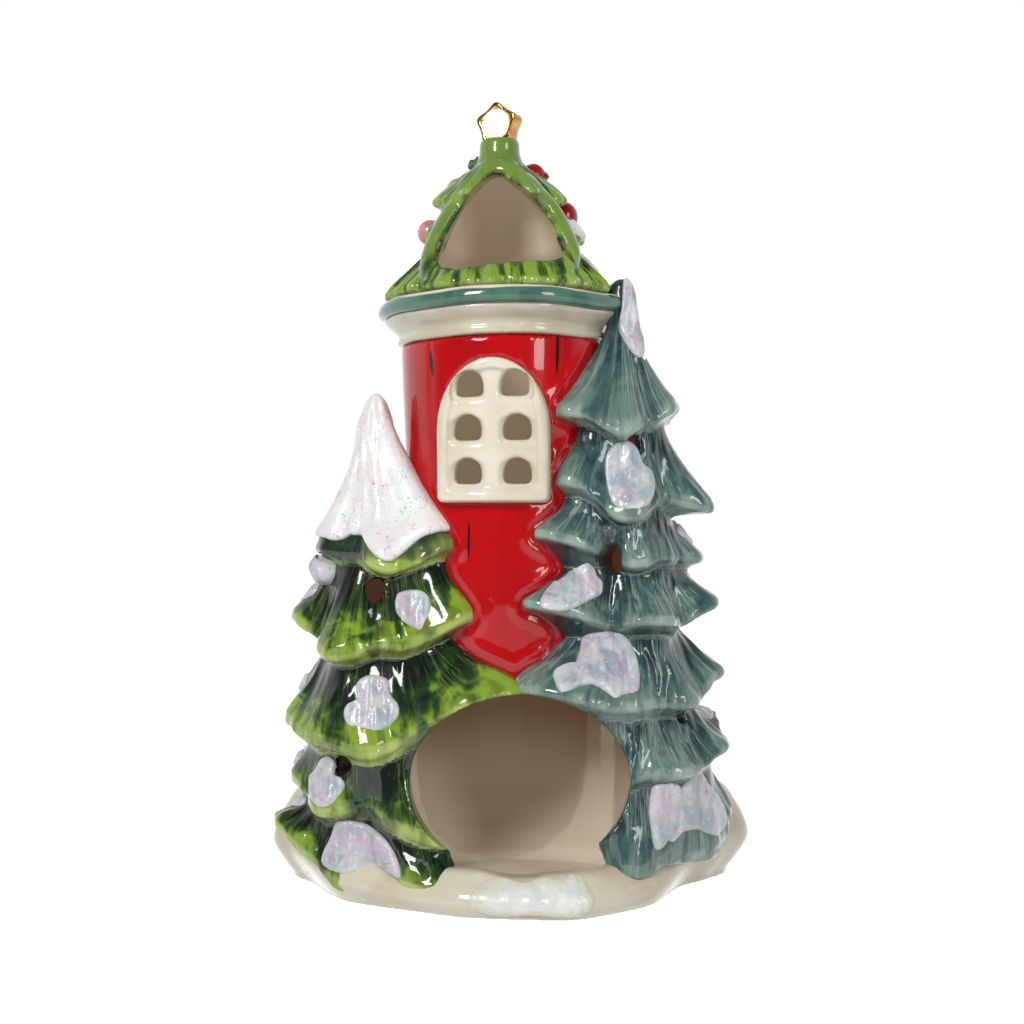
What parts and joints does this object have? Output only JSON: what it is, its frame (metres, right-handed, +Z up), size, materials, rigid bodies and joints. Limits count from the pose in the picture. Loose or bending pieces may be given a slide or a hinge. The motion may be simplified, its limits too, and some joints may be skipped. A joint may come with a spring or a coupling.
{
  "type": "candle house",
  "caption": "Hollow ceramic Christmas house: a tower between two pine trees on a snow bank, with an arch for a tealight and openings that let its light out.",
  "frame": {"origin": "middle of the snow bank's flat underside", "axes": "+Z up; the loading side with the tealight arch faces -Y; +X is to the right as that side is seen"},
  "size_m": [0.1346, 0.0925, 0.2168],
  "materials": {
    "cream_glaze": "glossy clear glaze over cream slip",
    "door_brown_glaze": "high-gloss glaze",
    "fruit_peach_glaze": "high-gloss glaze",
    "fruit_pink_glaze": "high-gloss glaze",
    "fruit_red_glaze": "high-gloss glaze",
    "gold_lustre": "fired metallic lustre",
    "red_glaze": "high-gloss hand-painted glaze",
    "roof_green_glaze": "high-gloss brushed glaze",
    "snow_glitter": "matt snow slip with pearly glitter",
    "teal_glaze": "high-gloss hand-painted glaze",
    "tree_blue_glaze": "high-gloss brushed glaze",
    "tree_green_glaze": "high-gloss brushed glaze"
  },
  "bodies": {
    "root": {"blue_tree": "tree_blue_glaze", "blue_tree_snow_1": "snow_glitter", "blue_tree_snow_2": "snow_glitter", "blue_tree_snow_3": "snow_glitter", "blue_tree_snow_4": "snow_glitter", "blue_tree_snow_5": "snow_glitter", "blue_tree_snow_6": "snow_glitter", "blue_tree_snow_7": "snow_glitter", "blue_tree_snow_8": "snow_glitter", "cornice": "cream_glaze", "eave_roll": "teal_glaze", "front_door": "door_brown_glaze", "front_door_casing": "cream_glaze", "front_door_knob": "gold_lustre", "front_window_frame": "cream_glaze", "green_tree": "tree_green_glaze", "green_tree_snow_1": "snow_glitter", "green_tree_snow_2": "snow_glitter", "green_tree_snow_3": "snow_glitter", "green_tree_snow_4": "snow_glitter", "green_tree_snow_5": "snow_glitter", "green_tree_snow_6": "snow_glitter", "green_tree_snow_7": "snow_glitter", "green_tree_snow_8": "snow_glitter", "green_tree_snow_hat": "snow_glitter", "rear_window_frame": "cream_glaze", "roof_bauble_peach": "fruit_peach_glaze", "roof_bauble_pink": "fruit_pink_glaze", "roof_bauble_red_large": "fruit_red_glaze", "roof_bauble_red_small": "fruit_red_glaze", "roof_berry_lower": "fruit_red_glaze", "roof_berry_upper": "fruit_red_glaze", "roof_holly_leaf_left": "roof_green_glaze", "roof_holly_leaf_right": "roof_green_glaze", "roof_shell": "roof_green_glaze", "roof_snow_1": "snow_glitter", "roof_snow_2": "snow_glitter", "roof_snow_3": "snow_glitter", "roof_snow_4": "snow_glitter", "sill_glitter_drift": "snow_glitter", "snow_base": "cream_glaze", "star_finial": "gold_lustre", "tower_wall": "red_glaze"}
  },
  "joints": []
}
